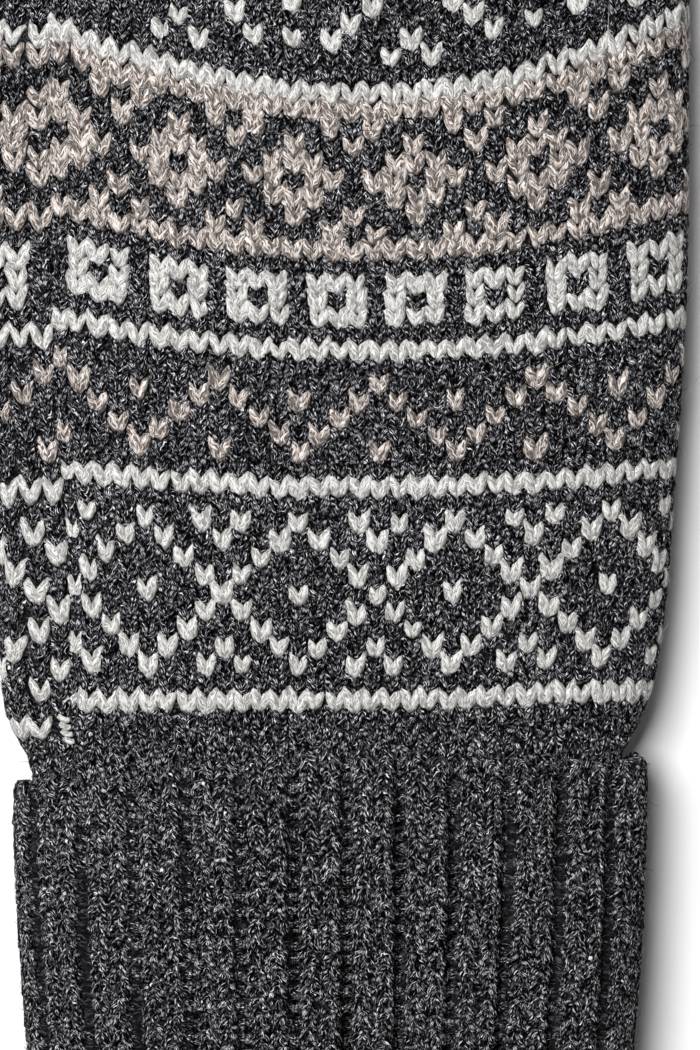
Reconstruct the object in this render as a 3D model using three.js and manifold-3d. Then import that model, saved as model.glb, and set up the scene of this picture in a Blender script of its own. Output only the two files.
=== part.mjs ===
// A knitted wool glove for the right hand, lying back up on a flat surface, fingers along +Y.
// Millimetres, +Z up. The hand, the turned-back ribbed cuff, the thumb and the four fingers are
// hollow knitted tubes; each joins the next across a small seat gap.
import * as THREE from "three";
import { mergeVertices } from "three/addons/utils/BufferGeometryUtils.js";
import Module from "manifold-3d";

const wasm = await Module();
wasm.setup();

// Driving dimensions
const PALM_WIDTH = 92; // across the widest part of the hand, lying flat
const HAND_LENGTH = 108; // from the cuff's free edge to the finger forks
const HAND_HEIGHT = 18.5; // crown of the back of the hand above the surface
const HAND_WALL = 2.4; // colour-stranded knit is two yarns thick
const CUFF_WIDTH = 81.2; // across the turned-back layer at its free edge
const CUFF_LENGTH = 56; // from the free edge down to the fold
const CUFF_HEIGHT = 19; // top of the turned-back layer above the surface
const CUFF_WALL = 2.6; // one layer of rib
const RIB_DEPTH = 0.9; // purl channels lie this far below the knit ribs
const RIB_COUNT = 26;
const FINGER_LENGTH = 80; // middle finger, from its fork to its tip
const FINGER_HEIGHT = 14.5;
const FINGER_WALL = 2;
const LITTLE_DROP = 7; // the little finger forks off this far below the others
const WEB_HEIGHT = 8; // front and back of the hand meet in a web between two fingers
const WEB_LENGTH = 4; // of that web, along the hand
const THUMB_LENGTH = 64; // from the edge of the hand to the tip
const THUMB_WIDTH = 24.5;
const THUMB_HEIGHT = 14;
const THUMB_ANGLE = 42; // degrees away from the fingers
const THUMB_PLACE = 51; // where the thumb turns away from the hand's edge, above the cuff
const THUMB_ROOT = 31; // the thumb's fabric starts to leave the hand this far below that place
const THUMB_SEAT = 3; // the thumb laps this far over and under the hand's rounded edge
const SEAM_DEPTH = 0.9; // the side seam lies in a shallow groove on the back of the hand
const LAYER_GAP = 0.8; // between the hand or wrist and the cuff turned back over it
const SEAT_GAP = 0.3; // between two pieces that are knitted together
const HAND_TUCK = 3; // the hand reaches this far down inside the turned-back cuff

// Shapes of the sections: exponents of a rounded outline, and the height of its side edges
const CROWN_ROUNDNESS = 2.5;
const SOLE_ROUNDNESS = 3;
const SOLE_FLATTENING = 1.1; // above 1, it cuts the sole off flat
const PALM_EDGE_LEVEL = 0.36;
const CUFF_EDGE_LEVEL = 0.45;
const FINGER_EDGE_LEVEL = 0.44;
const THUMB_CLEARING = 8; // the hand's section, this many times as tall, clears the thumb

// Points closer than these, in millimetres and in shares of a width, are one point
const WELD = 1e-4;
const SAME_PLACE = 1e-6;

// The hand's outline from the cuff's edge (0) to the forks (1): how far its width has opened from
// the wrist's to the palm's, and how far its crown and its sole have left the cuff's levels.
const HAND_SHAPE = [
  { along: 0.0, opened: 0.0, crown: 0.0, sole: 0.0 },
  { along: 0.024, opened: 0.17, crown: 0.08, sole: 0.2 },
  { along: 0.05, opened: 0.34, crown: 0.22, sole: 0.45 },
  { along: 0.08, opened: 0.47, crown: 0.38, sole: 0.7 },
  { along: 0.12, opened: 0.57, crown: 0.58, sole: 0.92 },
  { along: 0.17, opened: 0.65, crown: 0.75, sole: 1.0 },
  { along: 0.25, opened: 0.73, crown: 0.9, sole: 1.0 },
  { along: 0.36, opened: 0.83, crown: 0.98, sole: 1.0 },
  { along: 0.48, opened: 0.93, crown: 1.0, sole: 1.0 },
  { along: 0.6, opened: 0.985, crown: 1.0, sole: 1.0 },
  { along: 0.8, opened: 1.0, crown: 0.98, sole: 1.0 },
  { along: 0.88, opened: 1.0, crown: 0.95, sole: 1.0 },
  { along: 0.94, opened: 0.99, crown: 0.92, sole: 1.0 },
  { along: 1.0, opened: 0.98, crown: 0.9, sole: 1.0 },
];

// Fingers from the thumb's side: width as a share of the palm's, length as a share of the middle
// finger's, and how far the tip leans sideways as a share of its own length.
const FINGERS = [
  { name: "index_finger", width: 0.252, length: 0.89, lean: -0.075, dropped: 0 },
  { name: "middle_finger", width: 0.253, length: 1.0, lean: -0.012, dropped: 0 },
  { name: "ring_finger", width: 0.247, length: 0.93, lean: 0.04, dropped: 0 },
  { name: "little_finger", width: 0.222, length: 0.72, lean: 0.11, dropped: 1 },
];
const CROTCH_GAP = (1 - FINGERS.reduce((sum, f) => sum + f.width, 0)) / (FINGERS.length - 1);
const FORK_SHARE = 0.17; // the hand's lobes form over this share of its length below each fork

// A finger from its fork (0) to its tip (1): width and height as shares of those at the fork.
const FINGER_SHAPE = [
  { along: 0.0, width: 1.0, height: 1.0 },
  { along: 0.12, width: 0.985, height: 0.99 },
  { along: 0.35, width: 0.965, height: 0.97 },
  { along: 0.6, width: 0.94, height: 0.93 },
  { along: 0.78, width: 0.9, height: 0.87 },
  { along: 0.88, width: 0.8, height: 0.79 },
  { along: 0.94, width: 0.65, height: 0.68 },
  { along: 0.98, width: 0.44, height: 0.52 },
  { along: 1.0, width: 0.2, height: 0.34 },
];

// The thumb along its curved middle line, from its root (0) inside the hand's outline, where the
// hand's own surface cuts it off, to its tip (1).
const THUMB_SHAPE = [
  { along: 0.0, width: 0.86, height: 0.7 },
  { along: 0.14, width: 0.98, height: 0.76 },
  { along: 0.28, width: 1.06, height: 0.84 },
  { along: 0.42, width: 1.04, height: 0.94 },
  { along: 0.58, width: 1.0, height: 1.0 },
  { along: 0.75, width: 0.97, height: 0.96 },
  { along: 0.87, width: 0.89, height: 0.87 },
  { along: 0.94, width: 0.73, height: 0.74 },
  { along: 0.98, width: 0.5, height: 0.56 },
  { along: 1.0, width: 0.22, height: 0.36 },
];

const WOOL = { charcoal: 0x3b3b3e, heather: 0x46464a };

const lerp = THREE.MathUtils.lerp;
const smooth = (t) => THREE.MathUtils.smoothstep(t, 0, 1);

// The value of a table's column at a place along it, on a smooth curve through its rows.
function follow(table, column, at) {
  const last = table.length - 1;
  const clamped = THREE.MathUtils.clamp(at, table[0].along, table[last].along);
  let i = 0;
  while (i < last - 1 && table[i + 1].along < clamped) i++;
  const [low, high] = [table[i], table[i + 1]];
  const slope = (a, b) => (b[column] - a[column]) / (b.along - a.along);
  const here = slope(low, high);
  const before = i > 0 ? (slope(table[i - 1], low) + here) / 2 : here;
  const after = i < last - 1 ? (here + slope(high, table[i + 2])) / 2 : here;
  const span = high.along - low.along;
  const t = (clamped - low.along) / span;
  return (
    low[column] * (1 + 2 * t) * (1 - t) ** 2 +
    span * before * t * (1 - t) ** 2 +
    high[column] * t * t * (3 - 2 * t) +
    span * after * t * t * (t - 1)
  );
}

// Height of a rounded outline's upper and lower side at a share x of its half width.
const rounded = (x, roundness) =>
  Math.max(0, 1 - Math.abs(x) ** roundness) ** (1 / roundness);
const upperSide = (x, level, crown) => level + (crown - level) * rounded(x, CROWN_ROUNDNESS);
const lowerSide = (x, level, sole) =>
  Math.max(sole, level - (level - sole) * SOLE_FLATTENING * rounded(x, SOLE_ROUNDNESS));

// A closed solid through rings that hold the same number of points, with flat or pointed ends.
function loft(rings) {
  const count = rings[0].length;
  const points = rings.flat();
  const faces = [];
  const quad = (a, b, c, d) => faces.push(a, b, c, a, c, d);
  rings.slice(1).forEach((_, r) => {
    for (let i = 0; i < count; i++) {
      const j = (i + 1) % count;
      quad(r * count + i, r * count + j, (r + 1) * count + j, (r + 1) * count + i);
    }
  });
  const cap = (first, reversed) => {
    const middle = new THREE.Vector3();
    for (let i = 0; i < count; i++) middle.addScaledVector(points[first + i], 1 / count);
    const centre = points.push(middle) - 1;
    for (let i = 0; i < count; i++) {
      const j = (i + 1) % count;
      const [a, b] = reversed ? [first + j, first + i] : [first + i, first + j];
      faces.push(centre, a, b);
    }
  };
  const lastRing = (rings.length - 1) * count;
  cap(0, true);
  cap(lastRing, false);
  return solid(points, faces);
}

const solid = (points, faces) =>
  fromGeometry(new THREE.BufferGeometry().setFromPoints(points).setIndex(faces));

function fromGeometry(geometry) {
  geometry.deleteAttribute("normal");
  geometry.deleteAttribute("uv");
  const merged = mergeVertices(geometry, WELD);
  return new wasm.Manifold(
    new wasm.Mesh({
      numProp: 3,
      vertProperties: merged.attributes.position.array,
      triVerts: new Uint32Array(merged.index.array),
    }),
  );
}

// The finger places across the palm: middle and half width, as shares of the palm's half width.
const lobes = [];
let edge = -1;
for (const finger of FINGERS) {
  lobes.push({ ...finger, middle: edge + finger.width, half: finger.width });
  edge += 2 * (finger.width + CROTCH_GAP);
}

// Stations across the hand: cosine steps over each finger's place, and three at the side seam.
const SEAM_PLACE = -0.785;
const SEAM_HALF_WIDTH = 0.035;
const LOBE_STEPS = 6;
const stations = [SEAM_PLACE - SEAM_HALF_WIDTH, SEAM_PLACE, SEAM_PLACE + SEAM_HALF_WIDTH];
for (const lobe of lobes) {
  for (let i = 0; i <= LOBE_STEPS; i++) {
    stations.push(lobe.middle - lobe.half * Math.cos((Math.PI * i) / LOBE_STEPS));
  }
}
stations.sort((a, b) => a - b);
stations[0] = -1;
stations[stations.length - 1] = 1;

const wrist = {
  half: CUFF_WIDTH / 2 - CUFF_WALL - LAYER_GAP,
  crown: CUFF_HEIGHT - CUFF_WALL - LAYER_GAP,
  sole: CUFF_WALL + LAYER_GAP,
  level: CUFF_EDGE_LEVEL * CUFF_HEIGHT,
};
const fingerLevel = FINGER_EDGE_LEVEL * FINGER_HEIGHT;
const lobeAt = (x) => lobes.find((lobe) => Math.abs(x - lobe.middle) < lobe.half - SAME_PLACE);
const forkOf = (finger) => HAND_LENGTH - finger.dropped * LITTLE_DROP;
const forkAt = (x) => forkOf(lobes.findLast((lobe) => x > lobe.middle - lobe.half - CROTCH_GAP));

const handHalf = (along) =>
  lerp(wrist.half, PALM_WIDTH / 2, follow(HAND_SHAPE, "opened", along));

// One ring of the hand at a share of its length, taken in by an inset from the outer surface.
function handRing(along, inset) {
  const crownShare = follow(HAND_SHAPE, "crown", along);
  const soleShare = follow(HAND_SHAPE, "sole", along);
  const half = handHalf(along) - inset;
  const crown = lerp(wrist.crown, HAND_HEIGHT, crownShare);
  const sole = lerp(wrist.sole, 0, soleShare);
  const palmLevel = lerp(wrist.level, PALM_EDGE_LEVEL * HAND_HEIGHT, soleShare);
  const bridge = Math.max(WEB_HEIGHT / 2 - inset, SEAT_GAP);
  const heights = (x) => {
    const forked = smooth((along * HAND_LENGTH - forkAt(x)) / (FORK_SHARE * HAND_LENGTH) + 1);
    const level = lerp(palmLevel, fingerLevel, forked);
    const lobe = lobeAt(x);
    const local = lobe ? (x - lobe.middle) / lobe.half : 1;
    const over = upperSide(x, level, crown) - inset;
    const under = lowerSide(x, level, sole) + inset;
    const lobeOver = Math.max(upperSide(local, level, FINGER_HEIGHT) - inset, level + bridge);
    const lobeUnder = Math.min(lowerSide(local, level, 0) + inset, level - bridge);
    const seamed = SEAM_DEPTH * smooth(along / FORK_SHARE) * (1 - forked);
    const groove = Math.abs(x - SEAM_PLACE) < SEAM_HALF_WIDTH / 2 ? seamed : 0;
    return {
      top: Math.max(lerp(over, lobeOver, forked), level + SEAT_GAP) - groove,
      level,
      bottom: Math.min(lerp(under, lobeUnder, forked), level - SEAT_GAP),
    };
  };
  const point = (x, side) => new THREE.Vector3(x * half, along * HAND_LENGTH, heights(x)[side]);
  const inner = stations.slice(1, -1);
  return [
    point(-1, "level"),
    ...inner.map((x) => point(x, "top")),
    point(1, "level"),
    ...inner.map((x) => point(x, "bottom")).reverse(),
  ];
}

const handPlaces = [-HAND_TUCK / HAND_LENGTH, ...HAND_SHAPE.map((row) => row.along)];

// A rounded ring of a finger or thumb about a middle point, in the plane that `side` spans with +Z.
const RING_STEPS = 20;
function tubeRing(middle, side, half, height, inset) {
  const level = FINGER_EDGE_LEVEL * height;
  return Array.from({ length: RING_STEPS }, (_, i) => {
    const angle = (2 * Math.PI * i) / RING_STEPS;
    const x = -Math.cos(angle);
    const over = i < RING_STEPS / 2;
    const z = over
      ? Math.max(upperSide(x, level, height) - inset, level)
      : Math.min(lowerSide(x, level, 0) + inset, level);
    return middle
      .clone()
      .addScaledVector(side, x * Math.max(half - inset, SEAT_GAP))
      .setZ(z);
  });
}

// A hollow ends blunt, one row before the outer form's tip.
const rowsFor = (shape, inset) => (inset > 0 ? shape.slice(0, -1) : shape);

// A finger of the given wall inset: its outer form, or the hollow inside it.
function fingerForm(lobe, from, inset) {
  const long = FINGER_LENGTH * lobe.length;
  const fork = forkOf(lobe);
  const palmHalf = handHalf(1);
  const side = new THREE.Vector3(1, 0, 0);
  const places = rowsFor(FINGER_SHAPE, inset).map((row) => row.along);
  return loft(
    [from / long, ...places.slice(1)].map((along) => {
      const share = Math.max(along, 0);
      const half = palmHalf * lobe.half * follow(FINGER_SHAPE, "width", share);
      const height = FINGER_HEIGHT * follow(FINGER_SHAPE, "height", share);
      const x = lobe.middle * palmHalf + lobe.lean * long * share;
      const y = fork + along * (long - inset);
      return tubeRing(new THREE.Vector3(x, y, 0), side, half, height, inset);
    }),
  );
}

// The thumb's outer form, or the hollow inside it, which opens into the hand. Its middle line runs
// up inside the hand's edge and then turns away from it.
function thumbForm(inset) {
  const turn = THREE.MathUtils.degToRad(THUMB_ANGLE);
  const away = new THREE.Vector3(-Math.sin(turn), Math.cos(turn), 0);
  const bend = new THREE.Vector3(-handHalf(THUMB_PLACE / HAND_LENGTH), THUMB_PLACE, 0);
  const low = THUMB_PLACE - THUMB_ROOT;
  const root = new THREE.Vector3(THUMB_WIDTH / 2 - handHalf(low / HAND_LENGTH), low, 0);
  const tip = bend.clone().addScaledVector(away, THUMB_LENGTH);
  const middleLine = new THREE.QuadraticBezierCurve3(root, bend, tip);
  const reach = 1 - inset / middleLine.getLength();
  return loft(
    rowsFor(THUMB_SHAPE, inset).map((row) => {
      const heading = middleLine.getTangentAt(row.along * reach);
      const side = new THREE.Vector3(heading.y, -heading.x, 0);
      const half = (THUMB_WIDTH / 2) * row.width;
      const height = THUMB_HEIGHT * row.height;
      return tubeRing(middleLine.getPointAt(row.along * reach), side, half, height, inset);
    }),
  );
}

// The hand: its outer form less the palm's hollow, a mouth into each finger and one to the thumb.
const lobeMouths = lobes.map((lobe) => fingerForm(lobe, -2 * WEB_LENGTH, FINGER_WALL));
const thumbHollow = thumbForm(FINGER_WALL);

// The block that takes the hand back to the little finger's fork, grown by a margin.
function littleStep(margin) {
  const little = lobes.at(-1);
  const left = (little.middle - little.half - CROTCH_GAP) * handHalf(1) - margin;
  const depth = LITTLE_DROP + margin;
  const block = new THREE.BoxGeometry(PALM_WIDTH, 2 * depth, 4 * HAND_HEIGHT);
  block.translate(left + PALM_WIDTH / 2, forkOf(little) - margin + depth, 0);
  return fromGeometry(block);
}

function handSolid() {
  const outer = loft(handPlaces.map((along) => handRing(along, 0))).subtract(littleStep(0));
  const hollowEnd = 1 - WEB_LENGTH / HAND_LENGTH;
  const hollowPlaces = handPlaces.filter((along) => along < hollowEnd);
  const hollow = loft(
    [2 * handPlaces[0], ...hollowPlaces, hollowEnd].map((along) => handRing(along, HAND_WALL)),
  ).subtract(littleStep(WEB_LENGTH));
  return [hollow, ...lobeMouths, thumbHollow].reduce((made, cut) => made.subtract(cut), outer);
}

const fingerSolid = (lobe) =>
  fingerForm(lobe, SEAT_GAP, 0).subtract(fingerForm(lobe, -WEB_LENGTH, FINGER_WALL));

function thumbSolid() {
  const handWithGap = loft(handPlaces.map((along) => handRing(along, -SEAT_GAP)));
  const aboveAndBelow = handPlaces.map((along) =>
    handRing(along, THUMB_SEAT).map((point) => point.setZ(THUMB_CLEARING * (point.z - fingerLevel))),
  );
  return [handWithGap, loft(aboveAndBelow), thumbHollow].reduce(
    (made, cut) => made.subtract(cut),
    thumbForm(0),
  );
}

// The cuff: one rib fabric that runs down from the hand, folds, and turns back up to a free edge.
// Its profile lists the height along the cuff and the depth below the knit ribs.
const INNER_FACE = CUFF_WALL + LAYER_GAP;
const BOTH_LAYERS = 2 * CUFF_WALL + LAYER_GAP;
const cuffProfile = [
  { y: -0.5 * CUFF_WALL, depth: 0, ribbed: 1 },
  { y: -0.14 * CUFF_WALL, depth: 0.14 * CUFF_WALL, ribbed: 0.8 },
  { y: 0, depth: 0.5 * CUFF_WALL, ribbed: 0.3 },
  { y: -0.14 * CUFF_WALL, depth: 0.86 * CUFF_WALL, ribbed: 0 },
  { y: -0.5 * CUFF_WALL, depth: CUFF_WALL, ribbed: 0 },
  { y: -CUFF_LENGTH + CUFF_WALL, depth: CUFF_WALL, ribbed: 0 },
  { y: -CUFF_LENGTH + CUFF_WALL, depth: INNER_FACE, ribbed: 0 },
  { y: -HAND_TUCK - SEAT_GAP, depth: INNER_FACE, ribbed: 0 },
  { y: -HAND_TUCK - SEAT_GAP, depth: BOTH_LAYERS, ribbed: 0 },
  { y: -0.4 * CUFF_LENGTH, depth: BOTH_LAYERS, ribbed: 0 },
  { y: -CUFF_LENGTH + CUFF_WALL, depth: BOTH_LAYERS, ribbed: 0 },
  { y: -CUFF_LENGTH + 0.25 * CUFF_WALL, depth: 0.8 * BOTH_LAYERS, ribbed: 0 },
  { y: -CUFF_LENGTH, depth: 0.5 * BOTH_LAYERS, ribbed: 0.3 },
  { y: -CUFF_LENGTH + 0.25 * CUFF_WALL, depth: 0.2 * BOTH_LAYERS, ribbed: 0.7 },
  { y: -CUFF_LENGTH + CUFF_WALL, depth: 0, ribbed: 1 },
  { y: -0.7 * CUFF_LENGTH, depth: 0, ribbed: 1 },
  { y: -0.4 * CUFF_LENGTH, depth: 0, ribbed: 1 },
  { y: -0.15 * CUFF_LENGTH, depth: 0, ribbed: 1 },
];

// The cuff draws in slightly from its free edge to its fold.
const CUFF_TAPER = [
  { along: 0.0, width: 1.0 },
  { along: 0.2, width: 0.998 },
  { along: 0.45, width: 0.982 },
  { along: 0.7, width: 0.956 },
  { along: 1.0, width: 0.94 },
];

// Places round the cuff's outline at even steps of rib: two ends of each rib, two of each channel.
const RIB_PLACES = [
  { share: 0.0, channel: 0 },
  { share: 0.64, channel: 0 },
  { share: 0.76, channel: 1 },
  { share: 0.88, channel: 1 },
];

function cuffPoint(angle, depth, taper) {
  const level = CUFF_EDGE_LEVEL * CUFF_HEIGHT;
  const x = -Math.cos(angle);
  const half = (CUFF_WIDTH / 2) * taper - depth;
  const over = Math.sin(angle) >= 0;
  const z = over
    ? upperSide(x, level, CUFF_HEIGHT - depth)
    : lowerSide(x, level, depth);
  return new THREE.Vector2(x * half, z);
}

// Angles that cut the cuff's outer outline into stretches of equal length.
function evenAngles() {
  const FINE = 2000;
  const angles = Array.from({ length: FINE + 1 }, (_, i) => (2 * Math.PI * i) / FINE);
  const lengths = [0];
  for (let i = 1; i <= FINE; i++) {
    const step = cuffPoint(angles[i], 0, 1).distanceTo(cuffPoint(angles[i - 1], 0, 1));
    lengths.push(lengths[i - 1] + step);
  }
  return (share) => {
    const goal = share * lengths[FINE];
    const i = lengths.findIndex((length) => length > goal);
    const t = (goal - lengths[i - 1]) / (lengths[i] - lengths[i - 1]);
    return lerp(angles[i - 1], angles[i], t);
  };
}

function cuffSolid() {
  const angleAt = evenAngles();
  const columns = [];
  for (let rib = 0; rib < RIB_COUNT; rib++) {
    for (const place of RIB_PLACES) {
      columns.push({ angle: angleAt((rib + place.share) / RIB_COUNT), channel: place.channel });
    }
  }
  const points = columns.flatMap((column) =>
    cuffProfile.map(({ y, depth, ribbed }) => {
      const taper = follow(CUFF_TAPER, "width", -y / CUFF_LENGTH);
      const at = cuffPoint(column.angle, depth + RIB_DEPTH * column.channel * ribbed, taper);
      return new THREE.Vector3(at.x, y, at.y);
    }),
  );
  const rows = cuffProfile.length;
  const faces = [];
  columns.forEach((_, c) => {
    const next = (c + 1) % columns.length;
    for (let r = 0; r < rows; r++) {
      const s = (r + 1) % rows;
      const [a, b] = [c * rows + r, next * rows + r];
      const [d, e] = [c * rows + s, next * rows + s];
      faces.push(a, b, d, b, e, d);
    }
  });
  return solid(points, faces);
}

function woolMesh(name, form, colour) {
  const { numProp, numVert, vertProperties, triVerts } = form.getMesh();
  const geometry = new THREE.BufferGeometry();
  const positions = new Float32Array(numVert * 3);
  for (let i = 0; i < numVert; i++) {
    positions.set(vertProperties.subarray(i * numProp, i * numProp + 3), i * 3);
  }
  geometry.setAttribute("position", new THREE.BufferAttribute(positions, 3));
  geometry.setIndex(new THREE.BufferAttribute(new Uint32Array(triVerts), 1));
  geometry.computeVertexNormals();
  const material = new THREE.MeshStandardMaterial({ color: colour, roughness: 0.95, metalness: 0 });
  const mesh = new THREE.Mesh(geometry, material);
  mesh.name = name;
  return mesh;
}

const glove = new THREE.Group();
glove.name = "wool_glove";
glove.add(woolMesh("cuff", cuffSolid(), WOOL.heather));
glove.add(woolMesh("hand", handSolid(), WOOL.charcoal));
glove.add(woolMesh("thumb", thumbSolid(), WOOL.charcoal));
for (const lobe of lobes) glove.add(woolMesh(lobe.name, fingerSolid(lobe), WOOL.charcoal));

// The origin is on the surface that the glove lies on, under the middle of the palm.
glove.position.y = -HAND_LENGTH / 2;

export default glove;
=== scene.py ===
"""Knits a wool glove, stitch by stitch, over its plain solids.

Shapes are worked out in millimetres, with y measured from the free edge of the turned-back cuff, and
become metres when a mesh is made. Every stitch is two legs of yarn laid on the glove's own surface.
"""
import math

import bpy
import numpy as np
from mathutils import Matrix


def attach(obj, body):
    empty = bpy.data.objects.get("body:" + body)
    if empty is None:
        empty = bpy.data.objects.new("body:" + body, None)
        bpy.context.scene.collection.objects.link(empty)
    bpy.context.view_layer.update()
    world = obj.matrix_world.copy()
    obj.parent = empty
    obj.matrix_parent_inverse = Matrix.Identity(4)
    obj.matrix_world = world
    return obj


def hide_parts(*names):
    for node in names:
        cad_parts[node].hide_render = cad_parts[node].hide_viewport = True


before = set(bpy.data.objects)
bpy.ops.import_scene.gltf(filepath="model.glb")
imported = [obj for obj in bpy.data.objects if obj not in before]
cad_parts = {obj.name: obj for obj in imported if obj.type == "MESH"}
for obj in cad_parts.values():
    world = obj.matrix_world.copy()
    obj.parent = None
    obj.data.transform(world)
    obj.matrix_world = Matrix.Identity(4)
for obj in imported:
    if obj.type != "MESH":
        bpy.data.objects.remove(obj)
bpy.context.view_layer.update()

METRES_PER_MM = 0.001
BODY = "root"
CHARCOAL, WHITE, BEIGE = "charcoal_wool", "white_wool", "beige_wool"
dice = np.random.default_rng(20)

# Sizes of the glove.
PALM_WIDTH = 92.0
HAND_LENGTH = 108.0
HAND_HEIGHT = 18.5
CUFF_WIDTH = 81.2
CUFF_LENGTH = 56.0
CUFF_HEIGHT = 19.0
CUFF_WALL = 2.6
LAYER_GAP = 0.8
CHANNEL_DEPTH = 1.25
RIB_COUNT = 26
FINGER_LENGTH = 80.0
FINGER_HEIGHT = 14.5
LITTLE_DROP = 7.0
WEB_HEIGHT = 8.0
THUMB_LENGTH = 64.0
THUMB_WIDTH = 24.5
THUMB_HEIGHT = 14.0
THUMB_ANGLE = math.radians(42)
THUMB_PLACE = 51.0
THUMB_ROOT = 31.0
CROTCH_SHARE = 0.0087
FORK_SHARE = 0.08
FORK_BLEND = 0.14
CROWN_ROUNDNESS = 2.5
SOLE_ROUNDNESS = 3.0
SOLE_FLATTENING = 1.1
PALM_EDGE_LEVEL = 0.36
CUFF_EDGE_LEVEL = 0.45
FINGER_EDGE_LEVEL = 0.44

# The hand's sections from the cuff to the forks.
HAND_ALONG = (0, 0.024, 0.05, 0.08, 0.12, 0.17, 0.25, 0.36, 0.48, 0.6, 0.8, 0.88, 0.94, 1)
HAND_OPENED = (0, 0.17, 0.34, 0.47, 0.57, 0.65, 0.73, 0.83, 0.93, 0.985, 1, 1, 0.99, 0.98)
HAND_CROWN = (0, 0.08, 0.22, 0.38, 0.58, 0.75, 0.9, 0.98, 1, 1, 0.98, 0.95, 0.92, 0.9)
HAND_SOLE = (0, 0.2, 0.45, 0.7, 0.92, 1, 1, 1, 1, 1, 1, 1, 1, 1)

# Sections of a finger and of the thumb, as shares of their full width and height.
FINGER_ALONG = (0, 0.12, 0.35, 0.6, 0.78, 0.88, 0.94, 0.98, 1)
FINGER_WIDE = (1, 0.985, 0.965, 0.94, 0.9, 0.8, 0.65, 0.44, 0.2)
FINGER_HIGH = (1, 0.99, 0.97, 0.93, 0.87, 0.79, 0.68, 0.52, 0.34)
THUMB_ALONG = (0, 0.14, 0.28, 0.42, 0.58, 0.75, 0.87, 0.94, 0.98, 1)
THUMB_WIDE = (0.86, 0.98, 1.06, 1.04, 1, 0.97, 0.89, 0.73, 0.5, 0.22)
THUMB_HIGH = (0.7, 0.76, 0.84, 0.94, 1, 0.96, 0.87, 0.74, 0.56, 0.36)
CUFF_ALONG = (0, 0.2, 0.45, 0.7, 1)
CUFF_TAPER = (1, 0.998, 0.982, 0.956, 0.94)

FINGERS = (
    {"name": "index", "width": 0.252, "length": 0.89, "lean": -0.075, "dropped": 0},
    {"name": "middle", "width": 0.253, "length": 1.0, "lean": -0.012, "dropped": 0},
    {"name": "ring", "width": 0.247, "length": 0.93, "lean": 0.04, "dropped": 0},
    {"name": "little", "width": 0.222, "length": 0.72, "lean": 0.11, "dropped": 1},
)

# The fabric: stitches of yarn on a thin base.
WALE = 2.578
WALE_AT_CUFF = 2.40
ROW = 2.232
YARN_DEPTH = 0.55
BASE_DEPTH = 0.95
BASE_INNER = 2.2
LOWEST = 0.02
HIGHEST_HAIR = 20.6
HAND_WALES = 73
CROWN_COLUMN = 1.72
SEAM_COLUMN = -12


# Rounded outlines and smooth tables.
def follow(along, values, at):
    """A smooth curve through a table's values, with each row's slope the mean of its neighbours'."""
    along, values = np.asarray(along, float), np.asarray(values, float)
    steps = np.diff(values) / np.diff(along)
    slopes = np.concatenate([steps[:1], (steps[:-1] + steps[1:]) / 2, steps[-1:]])
    at = np.clip(at, along[0], along[-1])
    i = np.clip(np.searchsorted(along, at, "left") - 1, 0, len(along) - 2)
    span = along[i + 1] - along[i]
    t = (at - along[i]) / span
    return (
        values[i] * (1 + 2 * t) * (1 - t) ** 2
        + span * slopes[i] * t * (1 - t) ** 2
        + values[i + 1] * t * t * (3 - 2 * t)
        + span * slopes[i + 1] * t * t * (t - 1)
    )


def smooth(t):
    t = np.clip(t, 0, 1)
    return t * t * (3 - 2 * t)


def mix(a, b, t):
    return a + (b - a) * t


def rounded(x, roundness):
    return np.maximum(0, 1 - np.abs(x) ** roundness) ** (1 / roundness)


def upper_side(x, level, crown):
    return level + (crown - level) * rounded(x, CROWN_ROUNDNESS)


def lower_side(x, level, sole):
    return np.maximum(sole, level - (level - sole) * SOLE_FLATTENING * rounded(x, SOLE_ROUNDNESS))


class Tube:
    """Closed outlines at places along a path, each with evenly spaced points from its crown."""

    def __init__(self, places, rings, rounds):
        self.places = np.asarray(places, float)
        self.rings = np.asarray(rings, float)
        self.rounds = np.asarray(rounds, float)
        across = np.roll(self.rings, -1, 1) - np.roll(self.rings, 1, 1)
        along = np.gradient(self.rings, self.places, axis=0)
        normals = np.cross(across, along)
        self.normals = normals / np.maximum(np.linalg.norm(normals, axis=2, keepdims=True), 1e-9)

    def at(self, place, turn):
        """Points and outward directions at places along and turns round."""
        count, points = self.rings.shape[:2]
        k = np.interp(place, self.places, np.arange(count))
        k0 = np.clip(np.floor(k).astype(int), 0, count - 2)
        m = np.mod(turn, 1) * points
        m0 = np.floor(m).astype(int) % points
        m1 = (m0 + 1) % points
        u, v = (k - k0)[..., None], (m - np.floor(m))[..., None]

        def sample(grid):
            low = mix(grid[k0, m0], grid[k0, m1], v)
            high = mix(grid[k0 + 1, m0], grid[k0 + 1, m1], v)
            return mix(low, high, u)

        normal = sample(self.normals)
        normal /= np.maximum(np.linalg.norm(normal, axis=-1, keepdims=True), 1e-9)
        return sample(self.rings), normal

    def round_at(self, place):
        """The length of the outline at a place along."""
        return np.interp(place, self.places, self.rounds)


RING_POINTS = 720
FINE = np.linspace(0, 2 * np.pi, 1441)


def even_angles(outline, count=RING_POINTS):
    """Angles at even steps along a fine outline, and the outline's length."""
    steps = np.linalg.norm(np.diff(outline, axis=0), axis=1)
    lengths = np.concatenate([[0], np.cumsum(steps)])
    targets = np.arange(count) / count * lengths[-1]
    return np.interp(targets, lengths, FINE), lengths[-1]


def outline(angles, half, level, crown, sole):
    """Across and height of a rounded section, from its crown towards +across and round."""
    x = np.sin(angles)
    over = np.cos(angles) >= 0
    z = np.where(over, upper_side(x, level, crown), lower_side(x, level, sole))
    return np.stack([x * half, z], axis=-1)


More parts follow.
